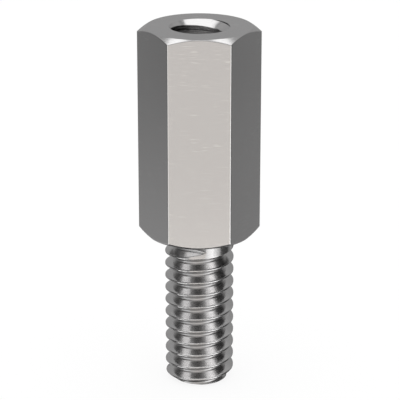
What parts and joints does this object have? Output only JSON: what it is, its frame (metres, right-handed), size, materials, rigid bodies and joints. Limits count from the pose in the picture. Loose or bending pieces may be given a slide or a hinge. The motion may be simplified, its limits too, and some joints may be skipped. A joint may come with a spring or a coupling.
{
  "type": "hex standoff",
  "caption": "Hexagonal stainless steel standoff with a threaded stud below and a countersunk tapped hole in its top end.",
  "frame": {"origin": "on the axis, in the plane of the shoulder that seats on a panel: the body is above it and the stud is below", "axes": "+Z along the axis from the stud to the tapped hole; Y is square to two of the flats and X runs through two corners"},
  "size_m": [0.0074, 0.0064, 0.0222],
  "materials": {
    "stainless_steel": "satin"
  },
  "bodies": {
    "root": {"standoff": "stainless_steel"}
  },
  "joints": []
}
